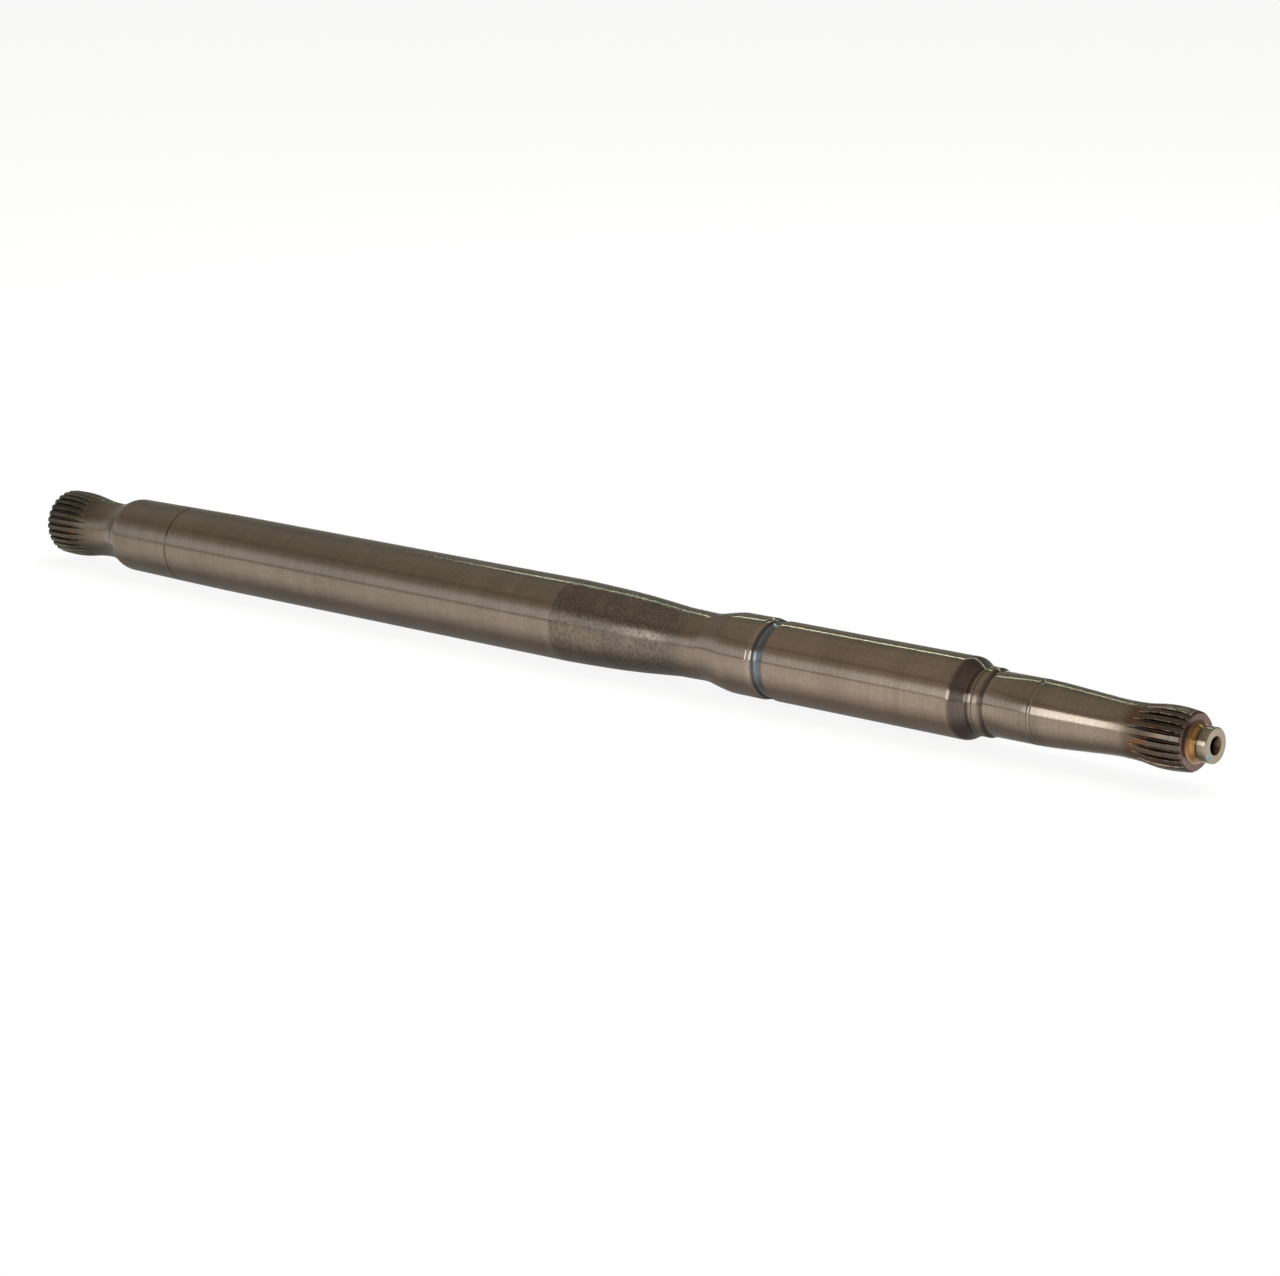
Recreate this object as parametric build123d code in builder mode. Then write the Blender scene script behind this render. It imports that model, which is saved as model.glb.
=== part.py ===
from build123d import *
from math import asin, cos, degrees, pi, radians, sin
import os

# Splined drive shaft, turned and ground from one steel bar. Millimetres.
# Stations run along the axis from the drive end face, as on a turner's drawing.
# The origin is the middle of the ground bearing journal, +X points to the nose.

# Drive end: crowned male spline, module 1
drive_teeth = 28
drive_tip_r = 14.92
drive_end_r = 14.70
drive_crown_at = 7.3
drive_floor_r = 13.70
drive_floor_crown_r = 263.0
drive_run_out_at = 28.3
drive_bevel = 0.5

# Neck, shoulder and collar behind the drive spline
neck_r = 12.62
neck_at = 34.3
shoulder_sweep = 25.0
hollow_r = 30.5
round_r = 11.5
ring_line_at = 87.4
collar_end_r = 16.98

# Barrel and waist
barrel_start = 115.0
barrel_end = 330.0
barrel_r = 17.25
waist_start = 394.0
waist_start_r = 13.94
waist_end = 405.5
waist_end_r = 13.79

# Land, clip groove and bearing journal
land_start = 421.5
land_r = 16.30
clip_lead_at = 435.2
clip_ledge_r = 15.85
clip_floor_at = 438.4
clip_floor_r = 15.15
journal_start = 443.2
journal_end = 534.0
journal_r = 16.0

# Spacer land, seal land and taper
spacer_start = 541.6
spacer_end = 546.4
spacer_r = 13.32
spacer_line_at = 543.5
seal_start = 548.6
seal_r = 12.55
seal_groove_at = 569.0
seal_end = 576.3
seal_end_r = 12.20
taper_end = 599.0
taper_end_r = 10.70

# Tail end: crowned male spline, module 1
tail_teeth = 22
tail_neck_at = 605.5
tail_neck_r = 10.48
tail_crown_at = 624.8
tail_tip_r = 11.82
tail_floor_r = 10.555
tail_floor_at = 616.0
tail_floor_crown_r = 1250.0
tail_run_out_at = 606.0
tail_face = 634.9
tail_bevel = 0.75

# Push-on stub at the nose, and the two centre holes
stub_ring_r = 8.05
stub_neck_r = 5.85
stub_collar_r = 6.72
stub_collar_at = 638.7
stub_end = 642.7
centre_mouth_r = 3.45
centre_pilot_r = 2.1
centre_depth = 13.0

journal_mid = (journal_start + journal_end) / 2

# Half sections lie in this plane: local x is the station, local y is the radius. It leans so
# that it passes through a solid tooth of both splines.
half_section = Plane(
    origin=(-journal_mid, 0, 0), x_dir=(1, 0, 0), z_dir=(0, -sin(radians(63)), -cos(radians(63)))
)

# Drive spline tooth space. Its section stands on a far axis below the crown, so turning it
# about that axis sweeps a floor that is crowned lengthwise and runs out at the neck.
drive_centre = (drive_crown_at - journal_mid, 0, drive_floor_r - drive_floor_crown_r)
drive_from = asin((-1.5 - drive_crown_at) / drive_floor_crown_r)
drive_to = asin((drive_run_out_at - drive_crown_at) / drive_floor_crown_r)
drive_plane = Plane(origin=drive_centre, x_dir=(0, 1, 0), z_dir=(cos(drive_from), 0, -sin(drive_from)))
drive_half_space = 0.25 * 2 * pi * drive_tip_r / drive_teeth
with BuildPart() as drive_cutter:
    with BuildSketch(drive_plane) as drive_space:
        with BuildLine():
            mouth = Line(
                (-drive_half_space - 0.25, drive_floor_crown_r + 1.75),
                (drive_half_space + 0.25, drive_floor_crown_r + 1.75),
            )
            flank = Line(mouth @ 1, (0.42, drive_floor_crown_r + 0.14))
            ThreePointArc(flank @ 1, (0, drive_floor_crown_r), (-0.42, drive_floor_crown_r + 0.14))
            Line((-0.42, drive_floor_crown_r + 0.14), mouth @ 0)
        make_face()
    revolve(axis=Axis(drive_centre, (0, 1, 0)), revolution_arc=degrees(drive_to - drive_from))

# Tail spline tooth space, swept the same way.
tail_centre = (tail_floor_at - journal_mid, 0, tail_floor_r - tail_floor_crown_r)
tail_from = asin((tail_run_out_at - tail_floor_at) / tail_floor_crown_r)
tail_to = asin((tail_face + 1.0 - tail_floor_at) / tail_floor_crown_r)
tail_plane = Plane(origin=tail_centre, x_dir=(0, 1, 0), z_dir=(cos(tail_from), 0, -sin(tail_from)))
tail_half_space = 0.215 * 2 * pi * tail_tip_r / tail_teeth
with BuildPart() as tail_cutter:
    with BuildSketch(tail_plane) as tail_space:
        with BuildLine():
            mouth = Line(
                (-tail_half_space - 0.25, tail_floor_crown_r + 1.75),
                (tail_half_space + 0.25, tail_floor_crown_r + 1.75),
            )
            flank = Line(mouth @ 1, (0.38, tail_floor_crown_r + 0.12))
            ThreePointArc(flank @ 1, (0, tail_floor_crown_r), (-0.38, tail_floor_crown_r + 0.12))
            Line((-0.38, tail_floor_crown_r + 0.12), mouth @ 0)
        make_face()
    revolve(axis=Axis(tail_centre, (0, 1, 0)), revolution_arc=degrees(tail_to - tail_from))

with BuildPart() as shaft:
    # Bar turned to its outside form, drive end face to tail spline face.
    with BuildSketch(half_section) as bar:
        with BuildLine():
            face = Line((0, 0), (0, drive_end_r - drive_bevel))
            bevel = Line(face @ 1, (drive_bevel, drive_end_r))
            crown = ThreePointArc(
                bevel @ 1, (drive_crown_at, drive_tip_r), (2 * drive_crown_at - drive_bevel, drive_end_r)
            )
            run_out = Spline(
                crown @ 1, (22.4, 13.47), (neck_at, neck_r), tangents=[crown % 1, (1, 0)]
            )
            hollow = JernArc(run_out @ 1, (1, 0), hollow_r, shoulder_sweep)
            shoulder = JernArc(hollow @ 1, hollow % 1, round_r, -shoulder_sweep)
            collar = Line(shoulder @ 1, (ring_line_at, collar_end_r))
            foot = Line(collar @ 1, (barrel_start, barrel_r))
            barrel = Line(foot @ 1, (barrel_end, barrel_r))
            waist_in = Spline(
                barrel @ 1,
                (352.0, 16.61),
                (371.0, 15.61),
                (386.0, 14.39),
                (waist_start, waist_start_r),
                tangents=[(1, -0.02), (1, -0.012)],
            )
            waist = Line(waist_in @ 1, (waist_end, waist_end_r))
            waist_out = Spline(
                waist @ 1, (413.1, 15.04), (land_start, land_r), tangents=[(1, -0.01), (1, 0.01)]
            )
            land = Line(waist_out @ 1, (journal_start, land_r))
            edge = Line(land @ 1, (journal_start, journal_r))
            journal = Line(edge @ 1, (journal_end, journal_r))
            ogee = Spline(
                journal @ 1,
                (535.5, 15.70),
                (537.0, 14.97),
                (538.6, 14.17),
                (540.1, 13.62),
                (spacer_start, spacer_r),
                tangents=[(1, -0.08), (1, -0.02)],
            )
            spacer = Line(ogee @ 1, (spacer_end, spacer_r))
            spacer_edge = Line(spacer @ 1, (spacer_end, seal_r))
            seal = Line(spacer_edge @ 1, (seal_groove_at, seal_r))
            ground = Line(seal @ 1, (seal_end, seal_end_r))
            taper = Line(ground @ 1, (taper_end, taper_end_r))
            tail_neck = Spline(
                taper @ 1,
                (tail_neck_at, tail_neck_r),
                (611.7, 10.60),
                (616.3, 11.09),
                (621.0, 11.69),
                (tail_crown_at, tail_tip_r),
                tangents=[taper % 1, (1, 0)],
            )
            tail_crown = JernArc(tail_neck @ 1, (1, 0), 62.0, -8.55)
            tail_chamfer = Line(tail_crown @ 1, (tail_face, (tail_crown @ 1).Y - tail_bevel))
            tail_end = Line(tail_chamfer @ 1, (tail_face, 0))
            centreline = Line(tail_end @ 1, face @ 0)
        make_face()
    revolve(axis=Axis.X)

    # Push-on stub: root ring, round-bottomed neck and collar.
    with BuildSketch(half_section) as stub:
        with BuildLine():
            ring = Line((tail_face - 1, stub_ring_r), (tail_face + 0.3, stub_ring_r))
            throat = ThreePointArc(ring @ 1, (tail_face + 0.8, 6.85), (tail_face + 1.9, 6.2))
            neck_floor = ThreePointArc(
                throat @ 1, (stub_collar_at - 0.8, stub_neck_r - 0.1), (stub_collar_at, stub_neck_r + 0.2)
            )
            Polyline(
                neck_floor @ 1,
                (stub_collar_at, stub_collar_r - 0.2),
                (stub_collar_at + 0.2, stub_collar_r),
                (stub_end - 0.35, stub_collar_r),
                (stub_end, stub_collar_r - 0.35),
                (stub_end, 0),
                (tail_face - 1, 0),
                ring @ 0,
            )
        make_face()
    revolve(axis=Axis.X)

    # Clip groove: rounded lead, ledge, floor, and a fillet under the sharp journal edge.
    with BuildSketch(half_section) as clip_groove:
        with BuildLine():
            lead = ThreePointArc(
                (clip_lead_at, land_r), (clip_lead_at + 0.55, land_r - 0.14), (clip_lead_at + 0.8, clip_ledge_r)
            )
            ledge = Line(lead @ 1, (clip_floor_at - 1.1, clip_ledge_r))
            drop = ThreePointArc(
                ledge @ 1, (clip_floor_at - 0.4, clip_ledge_r - 0.2), (clip_floor_at, clip_floor_r)
            )
            floor = Line(drop @ 1, (journal_start - 0.8, clip_floor_r))
            fillet_arc = ThreePointArc(
                floor @ 1, (journal_start - 0.24, clip_floor_r + 0.24), (journal_start, clip_floor_r + 0.8)
            )
            Polyline(
                fillet_arc @ 1, (journal_start, land_r + 1), (clip_lead_at, land_r + 1), lead @ 0
            )
        make_face()
    revolve(axis=Axis.X, mode=Mode.SUBTRACT)

    # Undercut where the spacer land drops to the seal land.
    with BuildSketch(half_section) as undercut:
        with BuildLine():
            rim = Line((spacer_end - 0.6, spacer_r), (spacer_end, spacer_r - 0.35))
            hollow_floor = ThreePointArc(
                rim @ 1, (spacer_end + 1.1, seal_r - 0.32), (seal_start, seal_r)
            )
            Polyline(
                hollow_floor @ 1, (seal_start, spacer_r + 1), (spacer_end - 0.6, spacer_r + 1), rim @ 0
            )
        make_face()
    revolve(axis=Axis.X, mode=Mode.SUBTRACT)

    # Fine turned lines: on the collar, on the spacer land and beside the seal land.
    with BuildSketch(half_section) as fine_lines:
        with Locations((ring_line_at, collar_end_r + 0.30)):
            Circle(0.55)
        with Locations((spacer_line_at, spacer_r + 0.12)):
            Circle(0.40)
        with Locations((seal_groove_at, seal_r + 0.75)):
            Circle(1.15)
    revolve(axis=Axis.X, mode=Mode.SUBTRACT)

    # Centre holes the shaft was turned between, one in each end.
    with Locations(Pos(stub_end - journal_mid, 0, 0) * Rot(0, 90, 0)):
        CounterSinkHole(
            radius=centre_pilot_r,
            counter_sink_radius=centre_mouth_r,
            depth=centre_depth,
            counter_sink_angle=60,
        )
    with Locations(Pos(-journal_mid, 0, 0) * Rot(0, -90, 0)):
        CounterSinkHole(
            radius=centre_pilot_r,
            counter_sink_radius=centre_mouth_r,
            depth=centre_depth,
            counter_sink_angle=60,
        )

    # Tooth spaces. Both splines are cut in step, with one space of each on the same line.
    space_line = -84.5
    add(
        [drive_cutter.part.rotate(Axis.X, -space_line + k * 360 / drive_teeth) for k in range(drive_teeth)],
        mode=Mode.SUBTRACT,
    )
    add(
        [tail_cutter.part.rotate(Axis.X, -space_line + k * 360 / tail_teeth) for k in range(tail_teeth)],
        mode=Mode.SUBTRACT,
    )

shaft.part.label = "shaft"
os.makedirs("parts", exist_ok=True)
export_step(shaft.part, "parts/shaft.step")
print("volume", round(shaft.part.volume), "solids", len(shaft.part.solids()), "box", shaft.part.bounding_box())
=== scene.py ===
import math

import bpy
import numpy as np
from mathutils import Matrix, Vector


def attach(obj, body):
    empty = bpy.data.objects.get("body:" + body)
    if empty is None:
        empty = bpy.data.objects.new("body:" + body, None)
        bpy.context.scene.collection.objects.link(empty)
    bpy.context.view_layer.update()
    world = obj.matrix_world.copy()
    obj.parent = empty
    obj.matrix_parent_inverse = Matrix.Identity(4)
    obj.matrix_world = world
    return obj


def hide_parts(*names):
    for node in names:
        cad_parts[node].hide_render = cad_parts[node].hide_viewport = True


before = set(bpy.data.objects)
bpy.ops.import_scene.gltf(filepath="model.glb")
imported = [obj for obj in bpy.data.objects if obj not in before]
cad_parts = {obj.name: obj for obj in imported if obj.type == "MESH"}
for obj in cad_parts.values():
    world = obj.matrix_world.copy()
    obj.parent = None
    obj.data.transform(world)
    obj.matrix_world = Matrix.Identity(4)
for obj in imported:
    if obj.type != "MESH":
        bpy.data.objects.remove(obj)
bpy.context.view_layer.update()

# ---------------------------------------------------------------- the shaft
# One bar of alloy steel, turned between centres, splined at both ends and ground on its
# journals. It is a single surface carried round the axis, from the bottom of one centre hole
# to the bottom of the other.

MM = 0.001
JOURNAL_MID = 488.6  # mm from the drive end face to the middle of the seal journal, at X = 0
NECK_END = (34.3, 12.62)  # mm, station and radius where the drive neck meets its shoulder
HOLLOW, ROUND, SHOULDER_ARC = 30.5, 11.5, 25  # the shoulder's two radii in mm, and degrees
HOLE_POINTS = 4  # outline points inside each centre hole
DENSE = 4000  # points along a smooth run, before it is thinned to rings
RING_TURN = 5.0  # degrees that an outline may turn from one ring to the next


def spread(dense, radius, finest):
    """Thins a dense outline to rings, as columns of station and radius.

    A ring is due after each RING_TURN of turn or each finest mm of length, and the two
    shares are added up along the outline.
    """
    lean = np.arctan2(np.diff(radius), np.diff(dense))
    turn = np.abs(np.diff(lean, prepend=lean[0]))
    cost = turn / math.radians(RING_TURN) + np.diff(dense) / finest
    travel = np.concatenate([[0.0], np.cumsum(cost)])
    rings = max(2, int(math.ceil(travel[-1])) + 1)
    stations = np.interp(np.linspace(0, travel[-1], rings), travel, dense)
    return np.column_stack([stations, np.interp(stations, dense, radius)])


def smooth_run(knots, finest, start_slope, end_slope):
    """Rings along a smooth turned outline through its knots.

    Each gap between knots is a cubic: at its ends it takes the knots' radii, and slopes that
    are the mean of the neighbouring chords, weighted by the other chord's length.
    """
    x, r = np.array(knots, float).T
    width = np.diff(x)
    chord = np.diff(r) / width
    slope = np.empty_like(x)
    slope[1:-1] = (chord[:-1] * width[1:] + chord[1:] * width[:-1]) / (width[1:] + width[:-1])
    slope[0], slope[-1] = start_slope, end_slope
    dense = np.linspace(x[0], x[-1], DENSE)
    i = np.clip(np.searchsorted(x, dense, side="right") - 1, 0, len(x) - 2)
    w = width[i]
    t = (dense - x[i]) / w
    radius = (
        (2 * t**3 - 3 * t**2 + 1) * r[i]
        + (t**3 - 2 * t**2 + t) * w * slope[i]
        + (3 * t**2 - 2 * t**3) * r[i + 1]
        + (t**3 - t**2) * w * slope[i + 1]
    )
    return spread(dense, radius, finest)


def arc_run(centre, size, start, end, rings):
    """Rings on a fillet: the centre plus a spoke of its size, turned from start to end degrees."""
    turn = np.radians(np.linspace(start, end, rings))
    return np.column_stack([centre[0] + size * np.cos(turn), centre[1] + size * np.sin(turn)])


# The shoulder's hollow stands on the neck, and its round touches the hollow at the arc's end.
slant = math.radians(SHOULDER_ARC)
hollow_centre = (NECK_END[0], NECK_END[1] + HOLLOW)
round_centre = (
    hollow_centre[0] + (HOLLOW + ROUND) * math.sin(slant),
    hollow_centre[1] - (HOLLOW + ROUND) * math.cos(slant),
)

# Outline: station from the drive end face and radius, both in mm.
runs = [
    # Drive centre hole, then the end face and its bevel
    [(13.0, 0.0), (13.0, 2.1), (2.34, 2.1), (0.0, 3.45)],
    [(0.0, 3.9), (0.0, 12.6), (0.0, 14.20)],
    # Crowned drive spline and the neck
    smooth_run(
        [
            (0.5, 14.70), (3.6, 14.85), (7.3, 14.92), (11.2, 14.84), (14.1, 14.62),
            (17.6, 14.20), (20.7, 13.72), (23.8, 13.28), (26.9, 12.93), (30.0, 12.73),
            NECK_END,
        ],
        finest=0.95, start_slope=0.062, end_slope=0.0,
    ),
    # Shoulder; each arc starts a step past the ring before it
    arc_run(hollow_centre, HOLLOW, start=-90 + 3, end=-90 + SHOULDER_ARC, rings=8),
    arc_run(round_centre, ROUND, start=90 + SHOULDER_ARC - 5, end=90, rings=6),
    # Collar with its fine ring line, and the barrel
    [
        (86.6, 16.97), (86.95, 16.97), (87.2, 16.83), (87.4, 16.75), (87.6, 16.83),
        (87.85, 16.99), (88.2, 17.0),
    ],
    [(115.0, 17.25), (222.0, 17.25), (329.4, 17.25)],
    # Waist, drawn down smoothly and back up to the clip land
    smooth_run(
        [
            (330.4, 17.25), (341.0, 16.96), (352.0, 16.62), (361.5, 16.20), (371.0, 15.61),
            (378.4, 15.03), (386.0, 14.39), (390.8, 14.03), (394.0, 13.94), (400.0, 13.85),
            (405.5, 13.80), (407.9, 14.00), (411.0, 14.60), (414.1, 15.25), (417.3, 15.83),
            (419.6, 16.16), (421.5, 16.28),
        ],
        finest=9.0, start_slope=-0.01, end_slope=0.03,
    ),
    # Clip land with its rounded lead, and the ledge
    [(434.9, 16.30), (435.25, 16.28), (435.6, 16.19), (435.85, 16.05), (436.0, 15.85)],
    [(437.3, 15.85), (437.75, 15.76), (438.1, 15.56), (438.3, 15.35)],
    # Clip groove, and the fillet under the journal's sharp edge
    [(438.4, 15.24), (439.3, 15.16), (440.4, 15.11), (442.4, 15.18)],
    [
        (442.8, 15.24), (443.05, 15.44), (443.18, 15.70), (443.2, 15.85), (443.2, 15.93),
        (443.45, 16.0),
    ],
    # Ground seal journal, then the ogee down to the spacer land
    [(443.9, 16.0), (JOURNAL_MID, 16.0), (533.6, 16.0)],
    smooth_run(
        [
            (534.0, 16.0), (535.5, 15.70), (537.0, 14.97), (538.6, 14.17), (540.1, 13.62),
            (541.6, 13.32),
        ],
        finest=1.5, start_slope=-0.08, end_slope=-0.24,
    ),
    # Spacer land with its line, and the undercut
    [(543.12, 13.32), (543.3, 13.12), (543.5, 13.04), (543.7, 13.12), (543.88, 13.32)],
    [
        (545.8, 13.32), (546.4, 12.97), (546.9, 12.50), (547.5, 12.23), (548.0, 12.31),
        (548.6, 12.55),
    ],
    # Small journal up to its rounded seal groove, and the start of the taper
    [
        (567.95, 12.51), (568.3, 12.32), (568.7, 12.20), (569.0, 12.15), (569.3, 12.19),
        (569.7, 12.28), (570.05, 12.45),
    ],
    [(576.1, 12.21), (576.5, 12.18)],
    # Foot of the taper, and the crowned tail spline
    smooth_run(
        [
            (599.0, 10.70), (602.0, 10.56), (605.5, 10.48), (608.5, 10.51), (611.7, 10.60),
            (614.2, 10.80), (616.3, 11.07), (618.6, 11.41), (621.0, 11.67), (622.9, 11.79),
            (624.8, 11.82), (627.8, 11.74), (631.0, 11.50), (634.0, 11.13),
        ],
        finest=0.95, start_slope=-0.06, end_slope=-0.15,
    ),
    # Bevel, end face, and the waisted stub
    [(634.6, 10.63), (634.9, 10.38), (634.9, 9.4), (634.9, 8.10), (635.15, 8.05), (635.25, 7.80)],
    [
        (635.45, 7.20), (635.8, 6.75), (636.3, 6.40), (636.8, 6.20), (637.3, 5.88),
        (637.9, 5.76), (638.4, 5.86), (638.7, 6.05),
    ],
    # Push-on collar and its centre hole
    [
        (638.72, 6.45), (638.78, 6.58), (638.92, 6.72), (642.35, 6.72), (642.6, 6.58),
        (642.7, 6.37), (642.7, 3.75),
    ],
    [(642.62, 3.45), (640.36, 2.1), (629.7, 2.1), (629.7, 0.0)],
]
station, radius = np.concatenate([np.array(run, float) for run in runs]).T
inside = np.zeros(len(station), bool)
inside[:HOLE_POINTS] = True
inside[-HOLE_POINTS:] = True

# Tooth spaces, in mm. The hob works from one station to another, where the bar's radius is
# over a limit. The floor is highest at the crown, and bend is its lengthwise radius.
DRIVE_SPACE = {
    "teeth": 28, "from": -1.0, "to": 28.3, "over": 12.7,
    "crown": 7.3, "floor": 13.70, "bend": 263.0, "half_floor": 0.42, "lean": 0.414,
}
TAIL_SPACE = {
    "teeth": 22, "from": 606.0, "to": 634.95, "over": 10.0,
    "crown": 616.0, "floor": 10.555, "bend": 1250.0, "half_floor": 0.38, "lean": 0.366,
}
FIRST_SPACE = math.radians(5.5)  # above the near side, where both splines have a space in line
BOWL_RISE = 0.14  # mm from the bottom of a space up to the foot of a flank
WIDTH_AT = 0.6  # mm above the floor, where distances across a space are measured
UNCUT = 99.0  # mm, a radius past the whole bar, where nothing is milled


def tooth_space(x, angle, space):
    """Radius of the milled surface at station x and angle, and distance from mid-space, mm.

    The floor drops from its crown by the square of the distance over twice the bend. Across,
    it rises as a parabola, by BOWL_RISE at half_floor, and beyond that each flank climbs 1 mm
    for every lean mm of width.
    """
    floor = space["floor"] - (x - space["crown"]) ** 2 / (2 * space["bend"])
    pitch = 2 * math.pi / space["teeth"]
    off = np.abs((angle - FIRST_SPACE + pitch / 2) % pitch - pitch / 2)
    across = off * (floor + WIDTH_AT)
    half = space["half_floor"]
    bowl = BOWL_RISE * (across / half) ** 2
    flank = BOWL_RISE + (across - half) / space["lean"]
    return floor + np.where(across < half, bowl, flank), across


# The outline's two ends are the hole bottoms' middles, and every other point becomes a ring.
AROUND = 616  # vertices to a ring: 22 to each drive tooth, 28 to each tail tooth
angle = np.arange(AROUND) * 2 * math.pi / AROUND
ring_x = station[1:-1, None] + 0 * angle
ring_r = radius[1:-1, None] + 0 * angle
in_hole = np.broadcast_to(inside[1:-1, None], ring_x.shape)
cut_r, floor_r, across = (np.full_like(ring_r, UNCUT) for _ in range(3))
for space in (DRIVE_SPACE, TAIL_SPACE):
    milled = ~in_hole & (ring_x > space["from"]) & (ring_x < space["to"])
    milled &= ring_r > space["over"]
    surface_r, from_middle = tooth_space(ring_x, angle, space)
    bottom_r, _ = tooth_space(ring_x, FIRST_SPACE, space)
    cut_r[milled] = surface_r[milled]
    floor_r[milled] = bottom_r[milled]
    across[milled] = from_middle[milled]

# Painted shade darkens the middle of each space, and where the space is deep the tooth corners are
# worn and carry a painted highlight.
SHADE_HALF, SHADE_FADE, SHADE_DEPTH = 0.62, 0.24, 0.025  # mm
EDGE_HALF, EDGE_DEPTH = 0.34, 0.30  # mm
depth = np.clip(ring_r - cut_r, 0, None)
space_shade = np.clip((SHADE_HALF - across) / SHADE_FADE, 0, 1) * np.clip(depth / SHADE_DEPTH, 0, 1)
# Tooth corners: wear plus a painted highlight.
corner = np.clip(1 - np.abs(cut_r - ring_r) / EDGE_HALF, 0, 1)
edge_wear_and_highlight = corner * np.clip((ring_r - floor_r) / EDGE_DEPTH, 0, 1)
ring_r = np.minimum(ring_r, cut_r)

# Angles are counted from the near side, -Y, towards +Z.
xyz = MM * np.stack(
    [ring_x - JOURNAL_MID, -ring_r * np.cos(angle), ring_r * np.sin(angle)], axis=-1
)
# Rings are full at the splines. Between them every fourth vertex is enough.
SPARSE = 4
DRIVE_END, TAIL_START = 30.5, 604.0  # mm, stations where the full rings stop and start again
sparse_from = int(np.argmax(ring_x[:, 0] > DRIVE_END))
sparse_to = int(np.argmax(ring_x[:, 0] > TAIL_START))


def in_mesh_order(grid, first_pole, last_pole):
    """A value for each vertex: full rings, sparse rings, full rings, then the two poles."""
    parts = [grid[:sparse_from], grid[sparse_from:sparse_to, ::SPARSE], grid[sparse_to:]]
    poles = np.array([first_pole, last_pole]).reshape(2, *grid.shape[2:])
    return np.concatenate([part.reshape(-1, *grid.shape[2:]) for part in parts] + [poles])


def numbered(first, rings, around):
    """Vertex numbers of a block of rings, counted up from its first."""
    return first + np.arange(rings * around).reshape(rings, around)


def strips(ids):
    """Quads between neighbouring rings of a block of vertex numbers, closed round the axis."""
    here, there = ids[:-1], ids[1:]
    corners = [there, np.roll(there, -1, 1), np.roll(here, -1, 1), here]
    return np.stack(corners, axis=-1).reshape(-1, 4)


verts = in_mesh_order(
    xyz,
    [(station[0] - JOURNAL_MID) * MM, 0, 0],
    [(station[-1] - JOURNAL_MID) * MM, 0, 0],
)
sparse_around = AROUND // SPARSE
front = numbered(0, sparse_from, AROUND)
middle = numbered(front.size, sparse_to - sparse_from, sparse_around)
rear = numbered(front.size + middle.size, len(xyz) - sparse_to, AROUND)
drive_pole = np.full(AROUND, len(verts) - 2)
nose_pole = np.full(AROUND, len(verts) - 1)
# A full ring meets a sparse one in seven-cornered faces, four short edges against a long one.
fan = SPARSE * np.arange(sparse_around)[:, None] + np.arange(SPARSE + 1)
front_edge = np.append(front[-1], front[-1, 0])[fan][:, ::-1]
rear_edge = np.append(rear[0], rear[0, 0])[fan]
# The bar from end to end, then a fan of triangles at the bottom of each centre hole.
blocks = [
    strips(front),
    np.column_stack([middle[0], np.roll(middle[0], -1), front_edge]),
    strips(middle),
    np.column_stack([rear_edge, np.roll(middle[-1], -1), middle[-1]]),
    strips(rear),
    np.column_stack([front[0], np.roll(front[0], -1), drive_pole]),
    np.column_stack([np.roll(rear[-1], -1), rear[-1], nose_pole]),
]
shaft_mesh = bpy.data.meshes.new("shaft_steel")
shaft_mesh.from_pydata(verts.tolist(), [], [face for block in blocks for face in block.tolist()])
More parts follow.
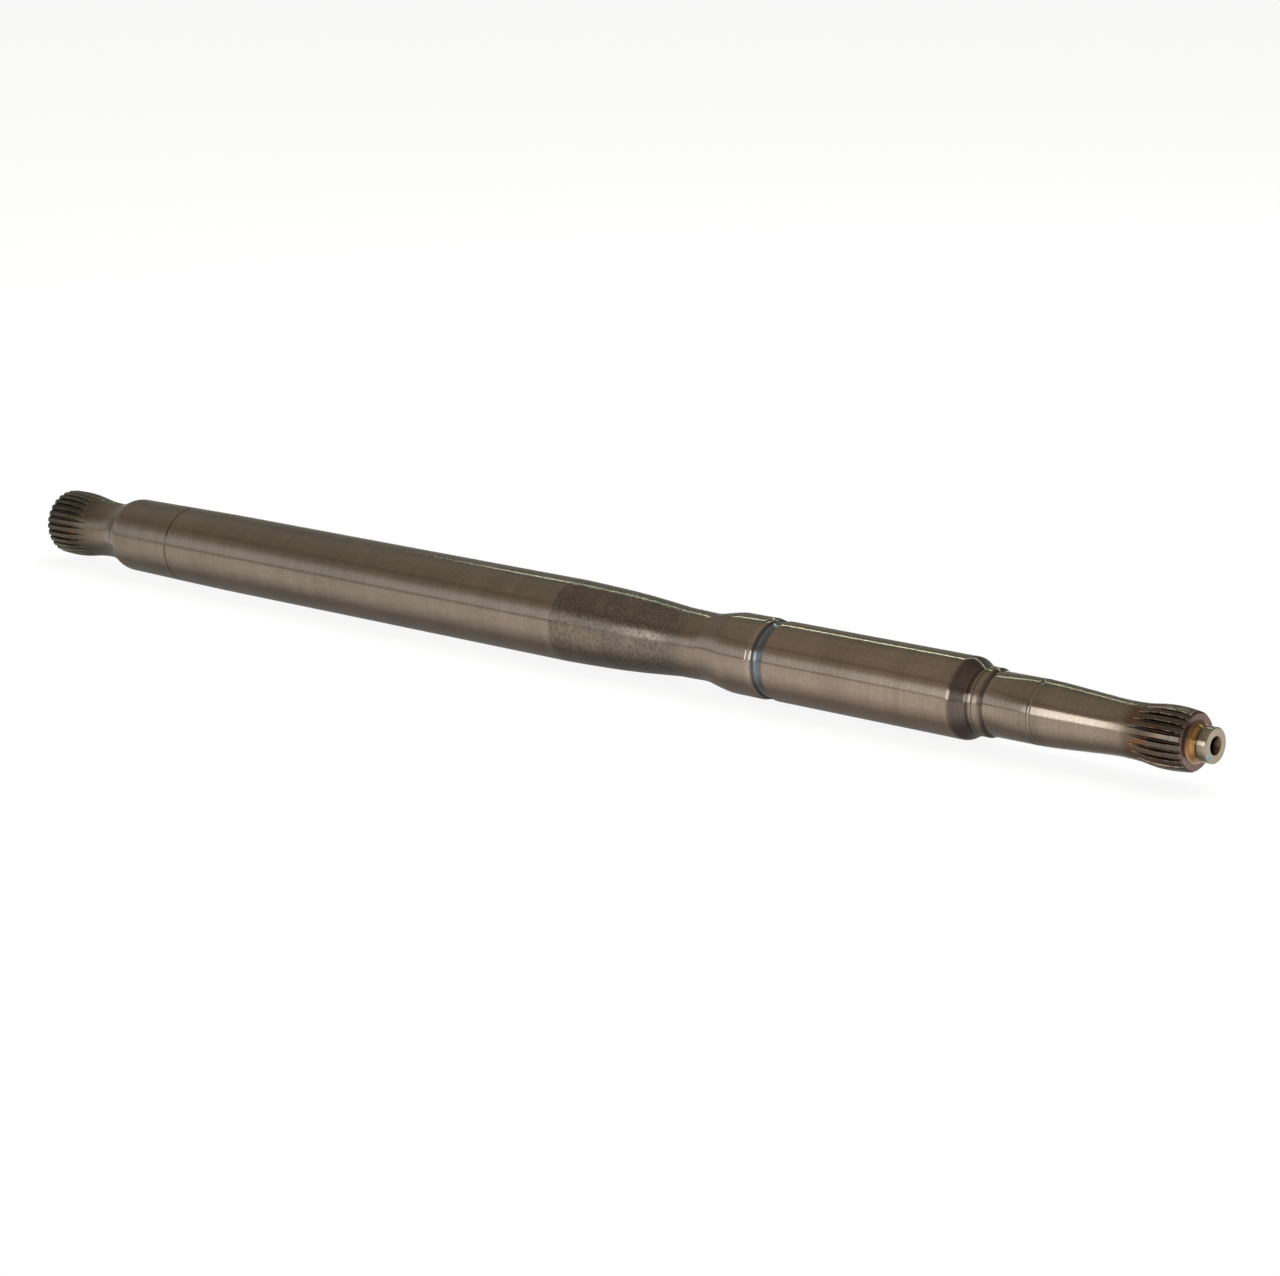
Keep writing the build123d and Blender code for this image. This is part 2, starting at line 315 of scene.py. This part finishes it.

# Finish along the bar, with painted highlight and painted shade in some base colours: station,
# base colour, roughness and grit.
FINISH_AND_PAINTED_LIGHT = [
    (0.0, (0.120, 0.104, 0.082), 0.34, 0.60),
    (0.4, (0.060, 0.053, 0.040), 0.34, 0.90),
    (18.0, (0.074, 0.063, 0.045), 0.30, 0.80),
    (25.0, (0.130, 0.108, 0.076), 0.26, 0.50),
    (34.0, (0.170, 0.138, 0.102), 0.27, 0.30),
    (48.0, (0.185, 0.150, 0.116), 0.24, 0.25),
    (64.0, (0.205, 0.165, 0.129), 0.16, 0.20),
    (329.4, (0.225, 0.180, 0.145), 0.13, 0.05),
    (330.4, (0.165, 0.132, 0.104), 0.19, 0.60),
    (394.0, (0.172, 0.140, 0.114), 0.18, 0.45),
    (401.0, (0.215, 0.170, 0.135), 0.15, 0.10),
    (435.4, (0.265, 0.210, 0.170), 0.10, 0.04),
    # Clip groove: a painted highlight on the lead's rounded edge, painted shade on the left wall
    # and under the journal's edge, and a painted bright spot on the bluish grey floor.
    (436.0, (0.340, 0.280, 0.230), 0.09, 0.08),
    (438.1, (0.260, 0.215, 0.185), 0.12, 0.10),
    (438.4, (0.095, 0.098, 0.100), 0.22, 0.20),
    (439.4, (0.215, 0.228, 0.236), 0.11, 0.06),
    (440.6, (0.135, 0.145, 0.153), 0.15, 0.08),
    (443.18, (0.110, 0.120, 0.130), 0.22, 0.20),
    (443.2, (0.275, 0.215, 0.172), 0.10, 0.04),
    (534.0, (0.275, 0.215, 0.170), 0.10, 0.04),
    # The ogee is painted darker than the journals, as painted shade.
    (534.9, (0.120, 0.090, 0.079), 0.15, 0.15),
    (541.4, (0.115, 0.088, 0.078), 0.15, 0.15),
    (541.7, (0.265, 0.212, 0.168), 0.12, 0.05),
    (600.0, (0.250, 0.202, 0.160), 0.15, 0.16),
    (607.5, (0.215, 0.170, 0.132), 0.22, 0.50),
    (611.0, (0.140, 0.102, 0.074), 0.26, 0.90),
    (618.0, (0.112, 0.084, 0.064), 0.26, 0.90),
    (626.0, (0.104, 0.086, 0.070), 0.25, 0.90),
    (634.0, (0.106, 0.086, 0.074), 0.27, 0.90),
    (634.92, (0.185, 0.128, 0.118), 0.40, 0.90),
    # Stub: bronze heat tint, with a painted highlight on its rounded edge and convex band, and
    # painted shade in its hollow and groove.
    (635.05, (0.340, 0.200, 0.140), 0.26, 0.40),
    (635.3, (0.340, 0.195, 0.120), 0.26, 0.40),
    (635.6, (0.190, 0.095, 0.036), 0.22, 0.30),
    (636.3, (0.420, 0.235, 0.085), 0.18, 0.30),
    (637.2, (0.300, 0.165, 0.058), 0.18, 0.30),
    (638.3, (0.070, 0.045, 0.018), 0.26, 0.30),
    (638.75, (0.120, 0.085, 0.045), 0.22, 0.30),
    (639.2, (0.310, 0.258, 0.192), 0.17, 0.22),
    (642.7, (0.330, 0.276, 0.214), 0.19, 0.25),
]
# Painted shade in fine grooves and sharp corners: station, half width, darkening.
GROOVE_SHADE = [
    (87.4, 0.6, 0.80), (436.65, 0.5, 0.50), (437.95, 0.65, 0.75), (443.12, 0.5, 0.50),
    (534.05, 0.4, 0.45), (541.45, 0.65, 0.88), (543.5, 0.36, 0.75), (547.2, 1.3, 0.75),
    (568.25, 0.45, 0.45), (569.8, 0.45, 0.45), (638.2, 0.7, 0.45),
]
# Belt-polished waist, heat tint at the tail spline, and rust on both splines: station, share.
BELT = [(329.4, 0.0), (330.4, 1.0), (394.0, 1.0), (401.0, 0.0)]
HEAT = [(607.5, 0.0), (611.0, 1.0), (622.0, 0.9), (634.92, 0.8), (635.1, 0.0)]
RUST = [
    (0.0, 0.10), (12.0, 0.20), (19.0, 0.45), (25.0, 0.0), (610.3, 0.0), (613.0, 1.0),
    (616.5, 1.0), (624.0, 0.35), (634.9, 0.25), (635.1, 0.0),
]
# The centre holes are brown, shaded at the mouth and nearly black deeper in.
HOLE_BROWN = (0.30, 0.21, 0.13)
MOUTH_SHADE, DEEP_SHADE = 0.45, 0.05
DRIVE_MOUTH, NOSE_MOUTH = 1.0, 642.0  # mm, stations where the two mouths end

vertex_x = in_mesh_order(ring_x, station[0], station[-1])
finish_x, colours, roughness, grit = zip(*FINISH_AND_PAINTED_LIGHT)
tone = np.column_stack([np.interp(vertex_x, finish_x, channel) for channel in zip(*colours)])
shade = np.ones_like(vertex_x)
# Each groove and corner darkens the tone, as painted shade.
for shade_x, half_width, darkening in GROOVE_SHADE:
    shade *= 1 - darkening * np.clip(1 - np.abs(vertex_x - shade_x) / half_width, 0, 1)
hole = in_mesh_order(in_hole, True, True)
mouth = (vertex_x[hole] < DRIVE_MOUTH) | (vertex_x[hole] > NOSE_MOUTH)
tone[hole] = HOLE_BROWN
shade[hole] = np.where(mouth, MOUTH_SHADE, DEEP_SHADE)


def store(name, values):
    """Puts one number for each vertex on the mesh under name."""
    made = shaft_mesh.attributes.new(name, "FLOAT", "POINT")
    made.data.foreach_set("value", np.asarray(values, np.float32))


painted = shaft_mesh.attributes.new("tone", "FLOAT_COLOR", "POINT")
rgba = np.column_stack([tone * shade[:, None], np.ones(len(vertex_x))])
painted.data.foreach_set("color", rgba.astype(np.float32).ravel())
store("roughness", np.interp(vertex_x, finish_x, roughness))
store("grit", np.interp(vertex_x, finish_x, grit))
store("space_shade", in_mesh_order(space_shade, 0, 0))
store("edge_wear_and_highlight", in_mesh_order(edge_wear_and_highlight, 0, 0))
store("belt_polish", np.interp(vertex_x, *zip(*BELT)))
store("heat", np.interp(vertex_x, *zip(*HEAT)))
store("rust", np.interp(vertex_x, *zip(*RUST)))

SHARP = 24  # degrees between two faces, past which their edge shades as a corner
shaft_mesh.polygons.foreach_set("use_smooth", np.ones(len(shaft_mesh.polygons), bool))
shaft_mesh.update()
shaft_mesh.set_sharp_from_angle(angle=math.radians(SHARP))
shaft = bpy.data.objects.new("shaft_steel", shaft_mesh)
bpy.context.scene.collection.objects.link(shaft)


def feed(tree, made, inputs):
    """Gives each named or numbered input of a node a plain value or another node's output."""
    for key, value in inputs.items():
        if isinstance(value, bpy.types.NodeSocket):
            tree.links.new(value, made.inputs[key])
        else:
            made.inputs[key].default_value = value


def node(tree, kind, inputs, **settings):
    """Adds a shader node, with its settings and then its inputs."""
    made = tree.nodes.new(kind)
    for name, value in settings.items():
        setattr(made, name, value)
    feed(tree, made, inputs)
    return made


def ramp(tree, stops, source):
    """A colour ramp through stops of rising position and grey or colour, fed by source."""
    made = node(tree, "ShaderNodeValToRGB", {"Fac": source})
    elements = made.color_ramp.elements
    for step, (position, value) in enumerate(stops):
        if step > 1:  # a new ramp has two stops to start with
            elements.new(position)
        elements[step].position = position
        elements[step].color = (*value, 1) if isinstance(value, tuple) else (value,) * 3 + (1,)
    return made.outputs["Color"]


def lay(tree, over, under, share, blend="MIX"):
    """The colour over, laid on the colour under by share."""
    inputs = {"Factor": share, "A": under, "B": over}
    made = node(tree, "ShaderNodeMix", inputs, data_type="RGBA", blend_type=blend)
    return made.outputs["Result"]


def number(tree, operation, *values):
    """A number worked out of others by an operation such as ADD or MULTIPLY."""
    made = node(tree, "ShaderNodeMath", dict(enumerate(values)), operation=operation)
    return made.outputs[0]


steel = bpy.data.materials.new("ground_steel")
steel.use_nodes = True
tree = steel.node_tree
place = node(tree, "ShaderNodeTexCoord", {}).outputs["Object"]


def read(name, output="Fac"):
    """A value stored on the mesh."""
    return node(tree, "ShaderNodeAttribute", {}, attribute_name=name).outputs[output]


def marks(scale, detail, rough=0.6):
    """Noise with scale cells to the metre. Where X has far more than Y and Z, it lies in rings."""
    squeeze = node(tree, "ShaderNodeMapping", {"Vector": place, "Scale": scale})
    inputs = {"Vector": squeeze.outputs[0], "Scale": 1.0, "Detail": detail, "Roughness": rough}
    return node(tree, "ShaderNodeTexNoise", inputs).outputs["Fac"]


def darken(colour, by):
    """One colour times another."""
    return lay(tree, by, colour, 1.0, "MULTIPLY")


# Grinding rings, broad and fine, clouds and speckle lighten and darken the tone a little.
broad = ramp(tree, [(0.30, 0.93), (0.70, 1.07)], marks((110, 16, 16), 3))
fine = ramp(tree, [(0.25, 0.90), (0.75, 1.10)], marks((2200, 40, 40), 4))
clouds = ramp(tree, [(0.30, 0.90), (0.70, 1.10)], marks((26, 70, 70), 5))
speckle = ramp(tree, [(0.25, 0.86), (0.75, 1.14)], marks((1300, 1300, 1300), 3, 0.7))
ground = read("tone", "Color")
for variation in (broad, fine, clouds, speckle):
    ground = darken(ground, variation)
# The waist was belt-polished by hand: coarser specks and darker, bluish patches.
patches = ramp(
    tree,
    [(0.36, (0.84, 0.85, 0.90)), (0.62, (1.08, 1.07, 1.05))],
    marks((60, 60, 60), 6, 0.7),
)
specks = ramp(tree, [(0.34, 0.58), (0.66, 1.42)], marks((1400, 800, 800), 4, 0.75))
polished = lay(tree, darken(ground, darken(patches, specks)), ground, read("belt_polish"))
# Heat tint on the teeth of the tail spline: dark, brown, pinkish and straw patches.
tint = ramp(
    tree,
    [
        (0.38, (0.38, 0.35, 0.30)),
        (0.46, (0.85, 0.78, 0.70)),
        (0.55, (1.55, 1.34, 1.38)),
        (0.64, (1.10, 0.84, 0.66)),
    ],
    marks((260, 420, 420), 6, 0.72),
)
heated = lay(tree, darken(polished, tint), polished, read("heat"))
# Painted shade darkens the tooth spaces where they are deep.
SPACE_SHADE_COLOUR = (0.026, 0.020, 0.015, 1)
space_shaded = lay(tree, SPACE_SHADE_COLOUR, heated, read("space_shade"))
# Orange rust, in blotches, mostly where the tooth spaces run out.
RUST_COLOUR = (0.190, 0.072, 0.024, 1)
blotches = ramp(tree, [(0.47, 0.0), (0.62, 0.85)], marks((150, 330, 330), 6, 0.7))
rusted = lay(tree, RUST_COLOUR, space_shaded, number(tree, "MULTIPLY", blotches, read("rust")))
# The tooth corners are worn, and lightened further as a painted highlight.
RUBBED_HIGHLIGHT_COLOUR, RUBBED_HIGHLIGHT_SHARE = (0.270, 0.235, 0.195, 1), 0.55
rub_highlight = number(tree, "MULTIPLY", read("edge_wear_and_highlight"), RUBBED_HIGHLIGHT_SHARE)
rubbed_and_highlit = lay(tree, RUBBED_HIGHLIGHT_COLOUR, rusted, rub_highlight)
# A dab of blue marking paint on the nose face, a little under a millimetre in radius.
PAINT_DAB = (0.1541, -0.0037, -0.0037)  # m
PAINT_BLUE = (0.05, 0.30, 0.52, 1)
to_dab = node(tree, "ShaderNodeVectorMath", {0: place, 1: PAINT_DAB}, operation="DISTANCE")
to_dab_mm = number(tree, "MULTIPLY", to_dab.outputs["Value"], 1000.0)
dab = ramp(tree, [(0.0, 1.0), (0.62, 1.0), (0.95, 0.0)], to_dab_mm)
marked = lay(tree, PAINT_BLUE, rubbed_and_highlit, dab)
# The wheel's grit leaves short fine scratches and longer, softer lines round the bar, which
# are deepest on the waist and the teeth.
scratches = marks((1500, 420, 420), 3, 0.7)
soft_lines = number(tree, "MULTIPLY", marks((3000, 30, 30), 2, 0.5), 0.4)
scoring = number(tree, "ADD", scratches, soft_lines)
height = number(tree, "MULTIPLY", scoring, read("grit"))
ridges = node(
    tree, "ShaderNodeBump", {"Height": height, "Strength": 0.35, "Distance": 0.00006}
)
# The shine is stretched across the grinding lines.
round_axis = node(tree, "ShaderNodeTangent", {}, direction_type="RADIAL", axis="X")
feed(
    tree,
    tree.nodes["Principled BSDF"],
    {
        "Base Color": marked,
        "Metallic": 1.0,
        "Roughness": read("roughness"),
        "Normal": ridges.outputs[0],
        "Tangent": round_axis.outputs[0],
        "Anisotropic": 0.45,
        "Anisotropic Rotation": 0.25,
    },
)
shaft_mesh.materials.append(steel)

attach(shaft, "root")
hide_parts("shaft")

# ---------------------------------------------------------------- floor
# A sheet of matt white studio paper that the barrel all but touches. The eye sees it nearly
# plain white, with a faint shadow, and the steel mirrors a little of that white.
SHEET_Z, SHEET_HALF = -0.01726, 9  # m
PAPER = (0.92, 0.92, 0.92, 1)
PLAIN_WHITE = (1, 1, 1, 1)
SEEN_WHITE, MIRRORED_WHITE = 0.90, 0.12  # shares of plain white
paper = bpy.data.materials.new("studio_paper")
paper.use_nodes = True
sheet = paper.node_tree
sheet.nodes.clear()
matt = node(sheet, "ShaderNodeBsdfDiffuse", {"Color": PAPER})
white = node(sheet, "ShaderNodeEmission", {"Color": PLAIN_WHITE, "Strength": 1.0})
ray = node(sheet, "ShaderNodeLightPath", {}).outputs
seen = number(sheet, "MAXIMUM", ray["Is Camera Ray"], ray["Is Transmission Ray"])
seen_share = number(sheet, "MULTIPLY", seen, SEEN_WHITE)
share = number(sheet, "MULTIPLY_ADD", ray["Is Glossy Ray"], MIRRORED_WHITE, seen_share)
blend = node(
    sheet, "ShaderNodeMixShader", {"Fac": share, 1: matt.outputs[0], 2: white.outputs[0]}
)
node(sheet, "ShaderNodeOutputMaterial", {"Surface": blend.outputs[0]})
corners = [
    (x * SHEET_HALF, y * SHEET_HALF, SHEET_Z) for x, y in ((-1, -1), (1, -1), (1, 1), (-1, 1))
]
floor_mesh = bpy.data.meshes.new("studio_floor")
floor_mesh.from_pydata(corners, [], [(0, 1, 2, 3)])
floor_mesh.materials.append(paper)
floor = bpy.data.objects.new("studio_floor", floor_mesh)
bpy.context.scene.collection.objects.link(floor)

# ---------------------------------------------------------------- light
# A room that the steel mirrors, with a white wall low in front and dim, warm walls above it
# and behind. A wide softbox stands in front, a narrow strip behind, and a soft light that the
# steel doesn't mirror hangs overhead. The eye sees plain white instead of the room.

# The front of the room: height of the direction, from level at 0 to straight up at 1.
FRONT_WALLS = [
    (0.0, (0.55, 0.52, 0.48)),
    (0.035, (0.62, 0.60, 0.56)),
    (0.07, (1.02, 1.08, 1.12)),
    (0.25, (0.98, 1.03, 1.06)),
    (0.42, (0.50, 0.46, 0.40)),
    (0.50, (0.46, 0.42, 0.36)),
    (0.53, (0.36, 0.32, 0.27)),
    (0.585, (0.37, 0.33, 0.28)),
    (0.61, (0.46, 0.42, 0.36)),
    (0.66, (0.47, 0.43, 0.37)),
    (0.68, (0.42, 0.38, 0.33)),
    (0.70, (0.48, 0.44, 0.38)),
    (1.0, (0.46, 0.42, 0.36)),
]
SIDE_WALLS = (0.46, 0.42, 0.36, 1)
BACK_WALL = (0.27, 0.26, 0.23, 1)
world = bpy.data.worlds.new("studio")
bpy.context.scene.world = world
world.use_nodes = True
sky = world.node_tree
sky.nodes.clear()
direction = node(sky, "ShaderNodeTexCoord", {}).outputs["Generated"]
split = node(sky, "ShaderNodeSeparateXYZ", {0: direction})


def turned(start, end):
    """Share that grows from 0 to 1 as the direction's Y goes from start to end."""
    inputs = {"Value": split.outputs["Y"], "From Min": start, "From Max": end}
    return node(sky, "ShaderNodeMapRange", inputs).outputs["Result"]


back_half = lay(sky, BACK_WALL, SIDE_WALLS, turned(0.20, 0.55))
front_half = ramp(sky, FRONT_WALLS, split.outputs["Z"])
walls = lay(sky, front_half, back_half, turned(-0.05, -0.35))
room = node(sky, "ShaderNodeBackground", {"Color": walls, "Strength": 1.0})
backdrop = node(sky, "ShaderNodeBackground", {"Color": PLAIN_WHITE, "Strength": 1.0})
ray = node(sky, "ShaderNodeLightPath", {}).outputs
blend = node(
    sky,
    "ShaderNodeMixShader",
    {"Fac": ray["Is Camera Ray"], 1: room.outputs[0], 2: backdrop.outputs[0]},
)
node(sky, "ShaderNodeOutputWorld", {"Surface": blend.outputs[0]})


def softbox(name, centre, target, wide, tall, power, colour):
    """A rectangular area lamp at centre, turned to face target, its wide side level."""
    lamp = bpy.data.lights.new(name, "AREA")
    lamp.shape = "RECTANGLE"
    lamp.size = wide
    lamp.size_y = tall
    lamp.energy = power
    lamp.color = colour
    made = bpy.data.objects.new(name, lamp)
    made.location = centre
    made.rotation_euler = (Vector(target) - Vector(centre)).to_track_quat("-Z", "Y").to_euler()
    bpy.context.scene.collection.objects.link(made)
    return made


softbox(
    "front_box", centre=(-0.94, -2.50, 0.57), target=(0.05, 0, 0.1),
    wide=1.32, tall=1.12, power=12.0, colour=(0.94, 0.98, 1.0),
)
softbox(
    "back_strip", centre=(-0.25, 1.9, 1.60), target=(0.1, 0, 0),
    wide=4.2, tall=0.045, power=6.6, colour=(0.80, 1.0, 0.78),
)
overhead = softbox(
    "overhead", centre=(0, 0.9, 2.4), target=(0, 0, 0),
    wide=2.0, tall=2.0, power=68, colour=(1.0, 1.0, 1.0),
)
overhead.visible_glossy = False

# ---------------------------------------------------------------- camera
# A long lens that looks from the nose end, a little downwards, so that the tail spline is
# near and the drive spline far.
HEADING, TILT = 42.65, 12.4  # degrees to the left of +Y, and below level
lens = bpy.data.cameras.new("camera")
lens.lens = 101.37
lens.sensor_width = 36.0
lens.clip_end = 50
camera = bpy.data.objects.new("camera", lens)
camera.location = (0.8443, -1.0507, 0.3119)
camera.rotation_euler = (math.radians(90 - TILT), 0, math.radians(HEADING))
bpy.context.scene.collection.objects.link(camera)
bpy.context.scene.camera = camera
bpy.context.scene.view_settings.view_transform = "Standard"
